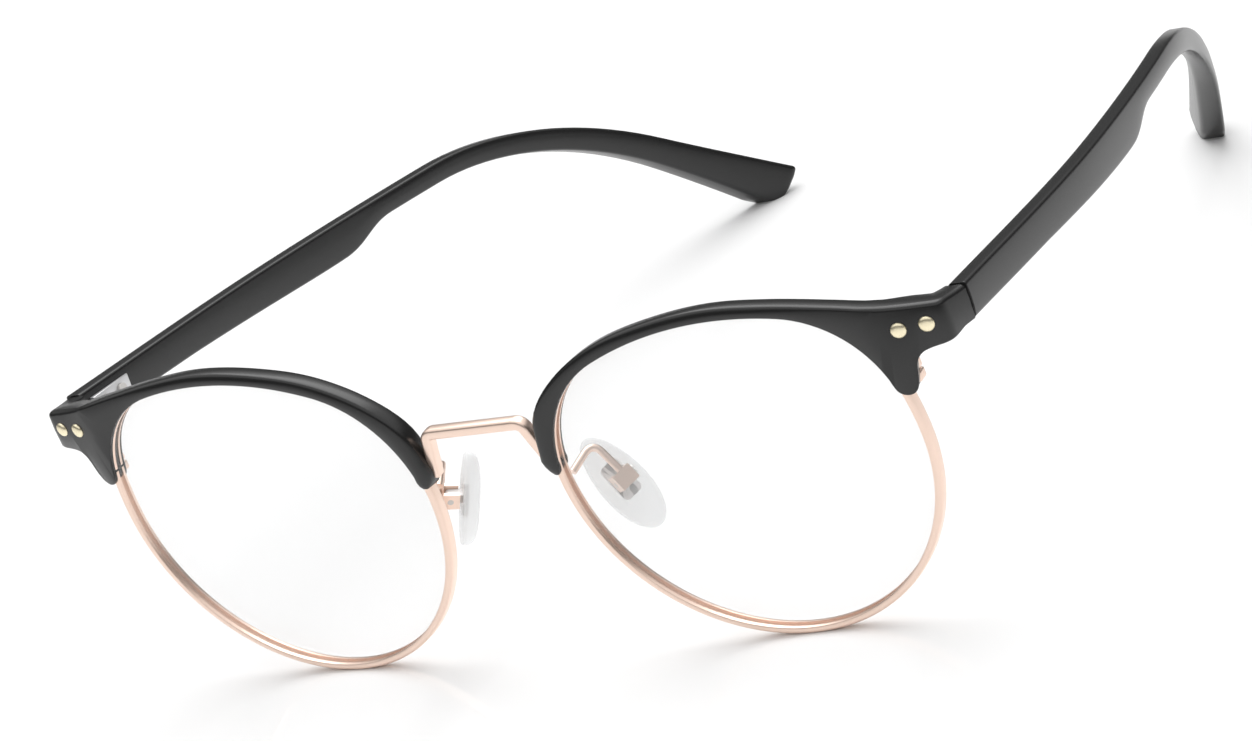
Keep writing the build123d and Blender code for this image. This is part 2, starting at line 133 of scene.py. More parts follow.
@dataclass(frozen=True)
class Finish:
    """One surface finish.

    Attributes:
        slot: the frame's material slot.
        color: main colour.
        tint: colour that the grain mixes in.
        metallic: 1 for metal.
        roughness: lowest and highest roughness over the grain.
        grain: size of the grain, as a noise scale per metre.
        stretch: how the grain is drawn out along each axis.
        relief: height of the fine relief, in metres.
        specular: strength of a plastic's own gloss.
        alpha: cover seen square on and seen edge on, where the finish is clear.
    """

    slot: str
    color: Triple
    tint: Triple
    metallic: float
    roughness: Pair
    grain: float
    stretch: Triple = (1.0, 1.0, 1.0)
    relief: float = 0.0
    specular: float = 0.5
    alpha: Optional[Pair] = None

    def material(self) -> bpy.types.Material:
        """Make the finish's material, or return it where it is made already.

        Returns:
            The material.
        """
        found = bpy.data.materials.get(self.slot)
        if found:
            return found
        material = bpy.data.materials.new(self.slot)
        material.use_nodes = True
        nodes, links = material.node_tree.nodes, material.node_tree.links
        shader = nodes["Principled BSDF"]
        shader.inputs["Metallic"].default_value = self.metallic
        shader.inputs["Specular IOR Level"].default_value = self.specular
        place = nodes.new("ShaderNodeTexCoord")
        mapping = nodes.new("ShaderNodeMapping")
        mapping.inputs["Scale"].default_value = self.stretch
        links.new(place.outputs["Object"], mapping.inputs["Vector"])
        grain = nodes.new("ShaderNodeTexNoise")
        grain.inputs["Scale"].default_value = self.grain
        grain.inputs["Detail"].default_value = 4.0
        links.new(mapping.outputs["Vector"], grain.inputs["Vector"])
        blend = nodes.new("ShaderNodeMix")
        blend.data_type = "RGBA"
        blend.inputs["A"].default_value = (*self.color, 1.0)
        blend.inputs["B"].default_value = (*self.tint, 1.0)
        links.new(grain.outputs["Fac"], blend.inputs["Factor"])
        links.new(blend.outputs["Result"], shader.inputs["Base Color"])
        spread = remap(material.node_tree, grain.outputs["Fac"], GRAIN_BAND, self.roughness)
        links.new(spread, shader.inputs["Roughness"])
        if self.relief:
            bump = nodes.new("ShaderNodeBump")
            bump.inputs["Strength"].default_value = 0.4
            bump.inputs["Distance"].default_value = self.relief
            links.new(grain.outputs["Fac"], bump.inputs["Height"])
            links.new(bump.outputs["Normal"], shader.inputs["Normal"])
        if self.alpha:
            edge = nodes.new("ShaderNodeLayerWeight")
            edge.inputs["Blend"].default_value = 0.35
            cover = remap(material.node_tree, edge.outputs["Facing"], (0.0, 1.0), self.alpha)
            links.new(cover, shader.inputs["Alpha"])
        return material


BLACK_PLASTIC = Finish(
    "black_frame", (0.002, 0.002, 0.0022), (0.005, 0.005, 0.0055), 0.0, (0.1, 0.16), 900.0,
    relief=3e-6, specular=0.15,
)
ROSE_GOLD = Finish(
    "rose_gold_rim", (0.95, 0.82, 0.73), (0.91, 0.75, 0.64), 1.0, (0.08, 0.16), 700.0, relief=2e-6
)
PALE_GOLD = Finish(
    "gold_rivet", (0.98, 0.86, 0.58), (0.94, 0.78, 0.46), 1.0, (0.1, 0.2), 1500.0, relief=3e-6
)
NICKEL = Finish(
    "silver_hinge", (0.78, 0.77, 0.75), (0.6, 0.6, 0.6), 1.0, (0.2, 0.34), 500.0, (1.0, 1.0, 9.0), 6e-6
)
STEEL = Finish(
    "steel_screw", (0.7, 0.68, 0.65), (0.5, 0.48, 0.46), 1.0, (0.16, 0.3), 2500.0, relief=4e-6
)
DRAWN_WIRE = Finish(
    "core_wire", (0.58, 0.58, 0.6), (0.44, 0.44, 0.46), 1.0, (0.25, 0.4), 400.0, (1, 0.05, 1), 4e-6
)
# Painted shade: the lens's blue-grey colour turns opaque seen edge on and paints the grey tint at its edges.
CLEAR_LENS = Finish(
    "clear_lens", (0.42, 0.47, 0.55), (0.34, 0.4, 0.48), 0.0, (0.01, 0.03), 60.0, alpha=(0.02, 0.55)
)
# Painted shade: the pads' dark grey colour, faint square on and nearly opaque edge on, paints their dark
# outlines.
CLEAR_PAD = Finish(
    "clear_pad", (0.36, 0.38, 0.42), (0.28, 0.3, 0.34), 0.0, (0.05, 0.12), 500.0,
    relief=6e-6, alpha=(0.22, 0.9),
)
CLEAR_INSERT = Finish(
    "clear_insert", (0.8, 0.79, 0.77), (0.62, 0.61, 0.6), 0.0, (0.15, 0.3), 900.0,
    relief=6e-6, alpha=(0.45, 0.9),
)


# ---- mesh helpers ----


def loft(bm: BMesh, rings: Sequence[Points]) -> None:
    """Draw the first ring, extrude it from ring to ring and close both ends.

    Args:
        bm: the mesh that the shape is added to.
        rings: closed rings with the same number of points.
    """
    count = len(rings[0])
    verts = [bm.verts.new(point) for point in rings[0]]
    edges = [bm.edges.new((verts[i], verts[(i + 1) % count])) for i in range(count)]
    ends = [edges]
    for ring in rings[1:]:
        grown = set(bmesh.ops.extrude_edge_only(bm, edges=edges)["geom"])
        moved = []
        for old, point in zip(verts, ring):
            new = next(e.other_vert(old) for e in old.link_edges if e.other_vert(old) in grown)
            new.co = point
            moved.append(new)
        verts = moved
        edges = [bm.edges.get((verts[i], verts[(i + 1) % count])) for i in range(count)]
    ends.append(edges)
    for end in ends:
        bmesh.ops.edgeloop_fill(bm, edges=end)


def smooth_through(points: Points, steps: int) -> list[Vector]:
    """Draw a smooth curve through points.

    Args:
        points: the points, in order.
        steps: how many pieces each stretch is divided into.

    Returns:
        The points of the curve.
    """
    padded = [2 * points[0] - points[1], *points, 2 * points[-1] - points[-2]]
    curve = []
    for a, b, c, d in zip(padded, padded[1:], padded[2:], padded[3:]):
        for step in range(steps):
            t = step / steps
            pull = (c - a) * t + (2 * a - 5 * b + 4 * c - d) * t**2 + (3 * b - a - 3 * c + d) * t**3
            curve.append(b + pull / 2)
    return curve + [points[-1]]


def rounded_path(corners: Points, radius: float, steps: int, pull: float = 0.6) -> list[Vector]:
    """Round the inner corners of a wire's path.

    Args:
        corners: the path's corners.
        radius: radius of each bend.
        steps: how many pieces each bend is divided into.
        pull: length of a bend's handles, as a share of its reach.

    Returns:
        The points of the path.
    """
    path = [corners[0]]
    for before, corner, after in zip(corners, corners[1:], corners[2:]):
        into = (corner - before).normalized()
        away = (after - corner).normalized()
        reach = radius * tan(into.angle(away) / 2)
        start, end = corner - into * reach, corner + away * reach
        handle = reach * pull
        path += interpolate_bezier(start, start + into * handle, end - away * handle, end, steps)
    return path + [corners[-1]]


def sweep(bm: BMesh, section: Points, path: Points, across: Vector) -> None:
    """Carry a flat section along a path.

    Args:
        bm: the mesh that the shape is added to.
        section: points of the section, x along `across` and y square to it.
        path: points of the path.
        across: the section's x direction at the path's start.
    """
    rings = []
    runs = [(b - a).normalized() for a, b in zip(path, path[1:])]
    tangents = [runs[0], *((a + b).normalized() for a, b in zip(runs, runs[1:])), runs[-1]]
    side = (across - tangents[0] * across.dot(tangents[0])).normalized()
    for before, tangent, centre in zip([tangents[0], *tangents], tangents, path):
        side = before.rotation_difference(tangent) @ side
        other = tangent.cross(side)
        rings.append([centre + side * p.x + other * p.y for p in section])
    loft(bm, rings)


def rounded_rectangle(width: float, height: float, radius: float, steps: int = 4) -> list[Vector]:
    """Draw a section with round corners.

    Args:
        width: size along x.
        height: size along y.
        radius: corner radius.
        steps: how many pieces each corner is divided into.

    Returns:
        The points of the section.
    """
    points = []
    for turn, (sx, sy) in enumerate(((1, 1), (-1, 1), (-1, -1), (1, -1))):
        for step in range(steps + 1):
            angle = radians(90 * (turn + step / steps))
            corner = Vector((sx * (width / 2 - radius), sy * (height / 2 - radius)))
            points.append(corner + radius * Vector((cos(angle), sin(angle))))
    return points


def spin_profile(bm: BMesh, points: Iterable[Triple], axis: Triple) -> None:
    """Spin a profile right round an axis through the origin.

    Args:
        bm: the mesh that the shape is added to.
        points: the profile's points.
        axis: the axis.
    """
    verts = [bm.verts.new(point) for point in points]
    edges = [bm.edges.new(pair) for pair in zip(verts, verts[1:])]
    bmesh.ops.spin(bm, geom=verts + edges, cent=(0, 0, 0), axis=axis, angle=tau, steps=TURNS, use_merge=True)


def settle(
    bm: BMesh, side: Optional[Side], node: str, suffix: str, finish: Finish, body: str = ""
) -> None:
    """Turn a drawn shape into a finished piece that stands for one of the frame's nodes.

    Args:
        bm: the shape, in the drawing's millimetres on the left side. It is freed here.
        side: the side that it goes to, or None in the middle.
        node: the node that it replaces, without its side.
        suffix: what the piece's name adds to the node's.
        finish: its finish.
        body: the side's own body that it moves with. Without one it moves with the front.
    """
    if side is Side.RIGHT:
        bmesh.ops.scale(bm, vec=(-1, 1, 1), verts=bm.verts)
    node = f"{side.prefix}_{node}" if side else node
    body = f"{side.prefix}_{body}" if body else "front"
    name = f"{node}_{suffix}"
    bmesh.ops.transform(bm, matrix=STAND, verts=bm.verts)
    bmesh.ops.remove_doubles(bm, verts=bm.verts, dist=1e-7)
    bmesh.ops.recalc_face_normals(bm, faces=bm.faces)
    mesh = bpy.data.meshes.new(name)
    bm.to_mesh(mesh)
    bm.free()
    mesh.shade_smooth()
    mesh.set_sharp_from_angle(angle=SHARP)
    mesh.materials.append(finish.material())
    piece = bpy.data.objects.new(name, mesh)
    bpy.context.scene.collection.objects.link(piece)
    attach(piece, body)
    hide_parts(node)
    log.info("%s rides on %s in %s, %d faces", name, body, finish.slot, len(mesh.polygons))


# ---- lenses and rims ----


@dataclass(frozen=True)
class LensShape:
    """The opening that rim, lens and brow are drawn around, as arcs in the lens plane."""

    centre_x: float = 35.75
    wrap: float = 2.85
    tilt: float = 7.9
    radius: float = 25.0
    upper_arcs: tuple[Pair, ...] = ((36.75, 8.6), (14.85, 69.9), (48.9, 32.2))
    step: float = 0.35

    def plane(self) -> Matrix:
        """Give the matrix from (temporal, back, up) in the lens plane to the drawing."""
        tilted = Matrix.Translation((self.centre_x, 0, 0)) @ Matrix.Rotation(radians(self.tilt), 4, "X")
        return tilted @ Matrix.Rotation(radians(self.wrap), 4, "Z")

    def outline(self) -> list[tuple[Vector, Vector]]:
        """Walk round the opening from its temporal point, upwards first.

        Returns:
            Pairs of a point and its outward direction, both (temporal, up).
        """
        arcs = list(self.upper_arcs)
        at, heading = Vector((self.radius, 0.0)), pi / 2
        walk = []
        for index in range(len(arcs) + 2):
            if index < len(arcs):
                radius, sweep_angle = arcs[index][0], radians(arcs[index][1])
            elif index == len(arcs):
                chord = Vector((-self.radius, 0.0)) - at
                half = atan2(chord.y, chord.x) - heading
                half = (half + pi) % (2 * pi) - pi
                radius, sweep_angle = chord.length / (2 * sin(half)), 2 * half
            else:
                radius, sweep_angle = self.radius, pi
            centre = at + radius * Vector((-sin(heading), cos(heading)))
            steps = max(2, round(radius * sweep_angle / self.step))
            for k in range(steps):
                angle = heading + sweep_angle * k / steps
                out = Vector((sin(angle), -cos(angle)))
                walk.append((centre + radius * out, out))
            heading += sweep_angle
            at = centre + radius * Vector((sin(heading), -cos(heading)))
        return walk


LENS_SHAPE = LensShape()


@dataclass(frozen=True)
class Rims:
    """Two thin metal rims, grooved inside for the lens and split behind the brow's tip."""

    wall: float = 1.0
    depth: float = 1.8
    groove: float = 0.5
    groove_width: float = 0.8
    split_height: float = 7.05
    split_half: float = 0.12
    inner_round: tuple[Pair, ...] = ((0.14, 0.0), (0.04, 0.04), (0.0, 0.14))
    outer_round: tuple[Pair, ...] = ((0.0, 0.5), (0.06, 0.24), (0.22, 0.07), (0.45, 0.0))

    def section(self) -> list[Pair]:
        """Draw the rim's section.

        Returns:
            Points as (outwards from the opening, back from the rim's front).
        """
        near = (self.depth - self.groove_width) / 2
        inside = [*self.inner_round, (0.0, near), (self.groove, near)]
        outside = [(self.wall - inwards, back) for inwards, back in self.outer_round]
        rear = [(out, self.depth - back) for out, back in inside[::-1] + outside[::-1]]
        return inside + rear + outside

    def build(self) -> None:
        """Build both rims."""
        walk = LENS_SHAPE.outline()
        start = next(i for i, (p, _) in enumerate(walk) if p.y > self.split_height + self.split_half)
        walk = walk[start:] + walk[:start]
        while self.split_height - self.split_half < walk[-1][0].y:
            walk.pop()
        plane = LENS_SHAPE.plane()
        for side in Side:
            bm = bmesh.new()
            rings = []
            for point, out in walk:
                places = [(point + out * r, back) for r, back in self.section()]
                rings.append([plane @ Vector((p.x, back, p.y)) for p, back in places])
            loft(bm, rings)
            settle(bm, side, "rim", "wire", ROSE_GOLD)


@dataclass(frozen=True)
class Lenses:
    """Two clear lenses with a shallow curve and an edge that sits in the rim's groove."""

    curve: float = 260.0
    thickness: float = 1.6
    crown: float = 0.6
    edge: float = 0.44
    edge_front: float = 0.58
    edge_back: float = 1.22
    shares: tuple[float, ...] = (0.03, 0.2, 0.4, 0.6, 0.8, 0.92, 0.997)

    def face(self, outline: Points, radius: float, start: float) -> list[list[Vector]]:
        """Draw one curved face as rings, from its middle outwards.

        Args:
            outline: points round the opening, in the lens plane.
            radius: the face's radius.
            start: how far back the face's middle is.

        Returns:
            The rings in the drawing.
        """
        plane = LENS_SHAPE.plane()
        rings = []
        for share in self.shares:
            ring = []
            for x, z in (point * share for point in outline):
                fall = radius - sqrt(radius**2 - x**2 - z**2)
                ring.append(plane @ Vector((x, start + fall, z)))
            rings.append(ring)
        return rings

    def build(self) -> None:
        """Build both lenses."""
        plane = LENS_SHAPE.plane()
        walk = LENS_SHAPE.outline()[::2]
        outline = [point for point, _ in walk]
        bevel = [point + out * self.edge for point, out in walk]
        rings = self.face(outline, self.curve, -self.crown)
        for back in (self.edge_front, self.edge_back):
            rings.append([plane @ Vector((p.x, back, p.y)) for p in bevel])
        rings += self.face(outline, self.curve - self.thickness, self.thickness - self.crown)[::-1]
        for side in Side:
            bm = bmesh.new()
            loft(bm, rings)
            settle(bm, side, "lens", "blank", CLEAR_LENS)


# ---- bridge ----


@dataclass(frozen=True)
class Bridge:
    """One straight bar over the nose, turned down sharply to a rim at each end."""

    height: float = 1.5
    depth: float = 1.7
    edge: float = 0.42
    middle_y: float = -1.35
    corner: Pair = (7.3, 8.15)
    foot: Pair = (8.95, 2.1)
    bend: float = 1.3
    lean_back: float = 1.3

    def build(self) -> None:
        """Build the bar."""
        (cx, cz), (fx, fz) = self.corner, self.foot
        low_y = self.middle_y + self.lean_back
        corners = [Vector((-fx, low_y, fz)), Vector((-cx, self.middle_y, cz))]
        corners += [Vector((cx, self.middle_y, cz)), Vector((fx, low_y, fz))]
        bm = bmesh.new()
        section = rounded_rectangle(self.depth, self.height, self.edge)
        sweep(bm, section, rounded_path(corners, self.bend, 9), Vector((0, 1, 0)))
        settle(bm, None, "bridge", "bar", ROSE_GOLD)


# ---- brows ----


@dataclass(frozen=True)
class Station:
    """One cut across the brow: its outer and inner ends, (along, up), and how full it is."""

    outer: Vector
    inner: Vector
    full: float = 1.0


@dataclass(frozen=True)
class Brows:
    """Two black browlines that hold the rims and carry the hinges on their turned-back ends."""

    depth: float = 2.8
    front_lip: float = 0.6
    channel: float = 1.03
    break_along: float = 24.5
    end_wrap: float = 13.0
    corner_start: float = 32.3
    corner_end: float = 34.0
    seam_y: float = 6.6
    rear_run: Pair = (0.69, 0.16)
    knee: Pair = (33.3, 1.43)
    turned: tuple[Pair, Pair] = ((33.42, 2.5), (30.6, 5.2))
    end: tuple[Pair, Pair] = ((34.6, 9.4), (31.6, 9.4))
    end_run: float = 6.9
    crease: tuple[Pair, ...] = (
        (-27.2, 3.2), (-25.6, 9.5), (-20.6, 14.3), (-13.4, 17.9), (-5.0, 19.8), (3.4, 20.5),
        (11.4, 19.8), (20.2, 18.3), (27.3, 16.9), (36.0, 16.0), (42.0, 16.0),
    )
    lobe: tuple[Pair, ...] = (
        (24.35, 6.6), (24.7, 5.75), (25.35, 5.25), (26.15, 5.15), (26.85, 5.55), (27.35, 6.35),
        (27.7, 7.4), (28.0, 8.6), (28.45, 9.55), (29.2, 10.2), (30.2, 10.5), (31.4, 10.65),
    )
    nasal_angle: float = 173.3
    lobe_angle: float = 34.0
    tip_angle: float = 17.5
    lobe_top: float = 31.8
    under: Pair = (10.7, 11.4)
    fill: float = 1.5
    fill_ramp: Pair = (22.0, 31.0)
    radial_cuts: int = 56
    nasal_end: tuple[Pair, ...] = ((84, 0.72), (66, 0.88), (44, 0.96), (22, 1.0))
    nasal_reach: Pair = (0.252, -2.1)
    fan_cuts: int = 9
    fan_step: float = 1.65
    end_start: float = 32.0
    end_step: float = 0.42
    end_cuts: int = 22
    under_cuts: int = 9
    narrow: float = 1.7
    shallow: float = 0.16
    loose: Pair = (25.0, 27.5)
    filled: Pair = (28.5, 31.0)

    def section(self, channel: float) -> list[Triple]:
        """Draw the brow's section.

        Args:
            channel: depth of the channel that takes the rim.

        Returns:
            Points as (share of the way from inner to outer end, offset outwards, depth from the front).
        """
        d, lip = self.depth, self.front_lip
        return [
            (0, 0.0, 0.24), (0, 0.07, 0.08), (0, 0.26, 0.0), (0.5, 0.0, 0.0), (1, -0.62, 0.1),
            (1, -0.34, 0.18), (1, -0.12, 0.36), (1, 0.0, 0.7), (1, 0.0, d - 0.35), (1, -0.1, d - 0.1),
            (1, -0.35, d), (0, 0.26, d), (0, 0.07, d - 0.07), (0, 0.0, d - 0.2), (0, 0.0, d - 0.39),
            (0, channel, d - 0.4), (0, channel, lip), (0, 0.0, lip - 0.01),
        ]

    def plan(self, along: float, share: float, fill: float) -> Vector:
        """Follow the brow seen from above, straight over the lens and turned back at its end.

        Args:
            along: distance along the brow.
            share: 0 on the front surface, 1 on the rear one.
            fill: how much of the extra depth in front of the hinge is there.

        Returns:
            The point as (temporal, back).
        """
        slope = tan(radians(self.end_wrap))
        on_slope = max(0.0, min(along, self.corner_start) - self.break_along)
        front = Vector((min(along, self.corner_start), -self.front_lip + on_slope * slope))
        rear = Vector((min(along, self.break_along), self.depth - self.front_lip))
        rear += Vector(self.rear_run) * on_slope
        rear.y += self.fill * fill * eased(share_of(along, *self.fill_ramp))
        outer, inner = map(Vector, self.turned)
        if along > self.corner_start:
            turn = share_of(along, self.corner_start, self.corner_end)
            front = front * (1 - turn) ** 2 + Vector(self.knee) * 2 * turn * (1 - turn) + outer * turn**2
            rear = rear.lerp(inner, turn)
        if along > self.corner_end:
            run = (along - self.corner_end) / self.end_run
            front, rear = outer.lerp(Vector(self.end[0]), run), inner.lerp(Vector(self.end[1]), run)
        return front.lerp(rear, share)

    def stations(self) -> list[Station]:
        """Cut the brow from its nasal tip to its end.

        Returns:
            The cuts in order.
        """
        crease = smooth_through([Vector(p) for p in self.crease], 24)
        opening = [p for p, _ in LENS_SHAPE.outline() if p.y > 0]
        cuts = []
        fan_width = self.lobe_angle - self.nasal_angle
        for k in range(self.radial_cuts):
            angle = radians(self.nasal_angle + fan_width * k / (self.radial_cuts - 1))
            cuts.append(Station(self.at_angle(crease, angle), self.at_angle(opening, angle)))
        tip = []
        base = cuts[0]
        middle, across = (base.outer + base.inner) / 2, (base.outer - base.inner) / 2
        for degrees, full in self.nasal_end:
            turn = radians(degrees)
            centre = middle + Vector(self.nasal_reach) * sin(turn)
            tip.append(Station(centre + across * cos(turn), centre - across * cos(turn), full))
        degrees = [self.lobe_angle - k * self.fan_step for k in range(1, self.fan_cuts + 1)]
        fan = [self.at_angle(opening, radians(d)) for d in degrees]
        tip_start = self.at_angle(opening, radians(self.tip_angle))
        fan += smooth_through([tip_start, *map(Vector, self.lobe)], 4)
        first, last = cuts[-1].outer.x, self.lobe_top
        ends = []
        for k, inner in enumerate(fan):
            outer = first + (last - first) * (k + 1) / len(fan)
            ends.append(Station(Vector((outer, self.height_at(crease, outer))), inner))
        for k in range(self.end_cuts):
            along = self.end_start + k * self.end_step
            under = self.under[0] + (self.under[1] - self.under[0]) * share_of(k, 0, self.under_cuts)
            ends.append(Station(Vector((along, self.height_at(crease, along))), Vector((along, under))))
        return tip + cuts + ends

    def at_angle(self, curve: Points, angle: float) -> Vector:
        """Find where a curve round the lens's middle crosses an angle.

        Args:
            curve: points of the curve.
            angle: the angle, from the temporal direction.

        Returns:
            The crossing.
        """
        for a, b in zip(curve, curve[1:]):
            first, second = atan2(a.y, a.x) - angle, atan2(b.y, b.x) - angle
            if first * second <= 0 and abs(first - second) > 1e-9:
                return a.lerp(b, first / (first - second))
        return min(curve, key=lambda p: abs(atan2(p.y, p.x) - angle))

    def height_at(self, curve: Points, along: float) -> float:
        """Read a curve's height.

        Args:
            curve: points of the curve, going along.
            along: where to read it.

        Returns:
            The height there.
        """
        for a, b in zip(curve, curve[1:]):
            if a.x <= along <= b.x:
                return a.lerp(b, (along - a.x) / (b.x - a.x)).y
        return curve[-1].y

    def ring(self, cut: Station) -> list[Vector]:
        """Place one cut's section.

        Args:
            cut: the cut.

        Returns:
            The ring in the drawing.
        """
        plane = LENS_SHAPE.plane()
        across = cut.outer - cut.inner
        scale = min(1.0, across.length / self.narrow)
        away = across.normalized()
        along, up = cut.inner
        channel = self.channel if along < 20 and cut.full == 1.0 and up > 2.6 else self.shallow
        loose, filled = share_of(along, *self.loose), share_of(along, *self.filled)
        lean = tan(radians(LENS_SHAPE.tilt))
        ring = []
        for share, offset, depth in self.section(channel):
            keep = 1.0 if offset == channel else scale
            flat = cut.inner + across * share + away * offset * keep
            half = self.depth / 2
            depth = half + (depth - half) * cut.full
            at = self.plan(flat.x, depth / self.depth, max(share, filled))
            drop = (at.y + self.front_lip) * lean * max(share, loose)
            ring.append(plane @ Vector((at.x, at.y, flat.y - drop)))
        return ring

    def build(self) -> None:
        """Build both brows."""
        for side in Side:
            bm = bmesh.new()
            loft(bm, [self.ring(cut) for cut in self.stations()])
            geom = bm.verts[:] + bm.edges[:] + bm.faces[:]
            cut = bmesh.ops.bisect_plane(
                bm, geom=geom, plane_co=(0, self.seam_y, 0), plane_no=(0, 1, 0), clear_outer=True
            )["geom_cut"]
            bmesh.ops.edgeloop_fill(bm, edges=[e for e in cut if isinstance(e, BMEdge)])
            settle(bm, side, "brow", "line", BLACK_PLASTIC)


@dataclass(frozen=True)
class Rivets:
    """Two domed rivets on the face of each brow's end."""

    places: tuple[Pair, ...] = ((3.1, 13.65), (6.6, 13.55))
    radius: float = 1.0
    rise: float = 0.36
    profile: tuple[Pair, ...] = (
        (0.0, 1.0), (0.4, 0.96), (0.7, 0.78), (0.88, 0.5), (0.97, 0.2), (1.0, -0.1), (1.0, -0.6)
    )

    def build(self) -> None:
        """Build both pairs."""
        brows = Brows()
        face = Matrix.Translation((brows.break_along, -brows.front_lip, 0))
        face = LENS_SHAPE.plane() @ face @ Matrix.Rotation(radians(brows.end_wrap), 4, "Z")
        for side in Side:
            bm = bmesh.new()
            for along, up in self.places:
                points = [(r * self.radius, -h * self.rise, 0) for r, h in self.profile]
                spin_profile(bm, points, (0, 1, 0))
                head = [v for v in bm.verts if not v.tag]
                bmesh.ops.transform(bm, matrix=face @ Matrix.Translation((along, 0, up)), verts=head)
                for vert in bm.verts:
                    vert.tag = True
            bmesh.ops.remove_doubles(bm, verts=bm.verts, dist=1e-4)
            bmesh.ops.holes_fill(bm, edges=[e for e in bm.edges if e.is_boundary])
            settle(bm, side, "rivets", "domed", PALE_GOLD)


# ---- temples ----


@dataclass(frozen=True)
class Temples:
    """Two temples: a broad level arm, a slim bend behind the ear and a flared tip."""

    start_y: float = 6.68
    top: float = 16.14
    thickness: float = 2.5
    tip_thickness: float = 3.3
    swell: Pair = (88.0, 132.0)
    bend_y: float = 84.2
    bend_radius: float = 58.8
    bend_angle: float = 38.5
    tip_run: float = 20.8
    tip_height: float = 5.5
    neck_height: float = 3.0
    corner: float = 0.5
    tip_rounding: Triple = (0.8, 2.0, 1.1)
    crown: float = 0.12
    from_above: tuple[Pair, ...] = (
        (69.6, 3.0), (69.42, 10.0), (66.76, 47.6), (60.7, 84.2), (54.8, 104.1), (48.0, 119.9),
        (38.3, 135.2), (32.2, 143.1),
    )
    under_start: Pair = (11.55, -0.015)
    under_step: float = 2.3
    belly: tuple[Pair, ...] = ((30.0, 11.4), (44.0, 11.1), (57.0, 10.6), (63.5, 10.8))
    rise: tuple[Pair, ...] = ((63.5, 10.8), (68.0, 11.0), (69.5, 13.1))
    neck_y: float = 74.0
    neck_step: float = 2.04
    bend_growth: float = 0.65
    bend_cuts: int = 20
    tip_cuts: int = 40

    def outer_face(self) -> list[Vector]:
        """Draw the temple's outer face seen from above, as (outwards, back)."""
        return smooth_through([Vector(p) for p in self.from_above], 16)

    def side_cuts(self) -> list[TempleCut]:
        """Cut the temple across from its hinge end to its tip, seen from the side.

        Returns:
            The cuts in order.
        """
        neck = self.top - self.neck_height
        height, fall = self.under_start
        under = [Vector((self.start_y + k * self.under_step, height + k * fall, 0)) for k in range(10)]
        under += interpolate_bezier(*(Vector((*p, 0)) for p in self.belly), 14)
        rise = (*self.rise, (self.neck_y, neck))
        under += interpolate_bezier(*(Vector((*p, 0)) for p in rise), 16)[1:]
        under += [Vector((self.neck_y + k * self.neck_step, neck, 0)) for k in range(1, 5)]
        cuts = [(Vector((p.x, self.top)), p.to_2d(), 0.0) for p in under]
        for k in range(self.bend_cuts + 1):
            share = k / self.bend_cuts
            height = self.neck_height + self.bend_growth * share**1.5
            cuts.append(self.bend_cut(self.bend_angle * share, height))
        for k in range(1, self.tip_cuts + 1):
            cuts.append(self.tip_cut(self.tip_run * sin(pi / 2 * k / self.tip_cuts)))
        return cuts

    def bend_cut(self, angle: float, height: float) -> TempleCut:
        """Cut across the bend behind the ear.

        Args:
            angle: how far round the bend, in degrees.
            height: the temple's height there.

        Returns:
            The cut.
        """
        turn = radians(angle)
        centre = Vector((self.bend_y, self.top - self.bend_radius))
        out = Vector((sin(turn), cos(turn)))
        return centre + out * self.bend_radius, centre + out * (self.bend_radius - height), 0.0

    def tip_cut(self, run: float) -> TempleCut:
        """Cut across the tip.

        Args:
            run: distance past the bend.

        Returns:
            The cut.
        """
        share = min(1.0, run / (self.tip_run * 0.82))
        start = self.neck_height + self.bend_growth
        top, bottom, _ = self.bend_cut(self.bend_angle, start + (self.tip_height - start) * share**1.4)
        turn = radians(self.bend_angle)
        onward = Vector((cos(turn), -sin(turn))) * run
        down = (bottom - top).normalized()
        trims = []
        for rounding in self.tip_rounding:
            past = max(0.0, 1 - (self.tip_run - run) / rounding)
            trims.append(rounding * (1 - sqrt(1 - past**2)))
        return top + onward + down * trims[0], bottom + onward - down * trims[1], trims[2]

    def section(self, corner: float) -> list[tuple[float, float, float, float]]:
        """Draw the temple's section, round at its corners and a little full on its faces.

        Args:
            corner: size of the round corners.

        Returns:
            Points as (share down, offset down, share inwards, offset inwards).
        """
        c, small, crown = corner, corner * 0.29, self.crown
        tiny, most = corner * 0.08, corner * 0.62
        points = []
        for down, inward, flip in ((0, 0, False), (1, 0, True), (1, 1, False), (0, 1, True)):
            sy, sx = (1 if down == 0 else -1), (1 if inward == 0 else -1)
            turn = [(0.0, c), (tiny, most), (small, small), (most, tiny), (c, 0.0)]
            if flip:
                turn = turn[::-1]
            points += [(down, sy * a, inward, sx * b) for a, b in turn]
            if (down, inward) == (0, 0):
                points += [(0.3, 0, 0, -crown), (0.7, 0, 0, -crown)]
            if (down, inward) == (1, 1):
                points += [(0.7, 0, 1, crown), (0.3, 0, 1, crown)]
        return points

    def ring(self, cut: TempleCut, face: Points, inset: float) -> list[Vector]:
        """Place one cut's section.

        Args:
            cut: the cut.
            face: the outer face seen from above.
            inset: how far the whole section is drawn in.

        Returns:
            The ring in the drawing.
        """
        top, bottom, drawn = cut
        down = (bottom - top).normalized()
        height = (bottom - top).length
        corner = self.corner * self.thickness_at(top.x) / self.thickness
        ring = []
        for share_down, offset_down, share_in, offset_in in self.section(corner):
            deep = height * share_down + offset_down
            deep = min(max(deep, inset), height - inset)
            at = top + down * deep
            outer, slope = self.face_at(face, at.x)
            thick = self.thickness_at(at.x)
            inward = drawn + (thick - 2 * drawn) * share_in + offset_in
            if inset:
                inward = min(max(inward, drawn + inset), thick - drawn - inset)
            ring.append(Vector((outer - inward * sqrt(1 + slope**2), at.x, at.y)))
        return ring

    def thickness_at(self, back: float) -> float:
        """Read the temple's thickness at a distance back."""
        return self.thickness + (self.tip_thickness - self.thickness) * eased(share_of(back, *self.swell))

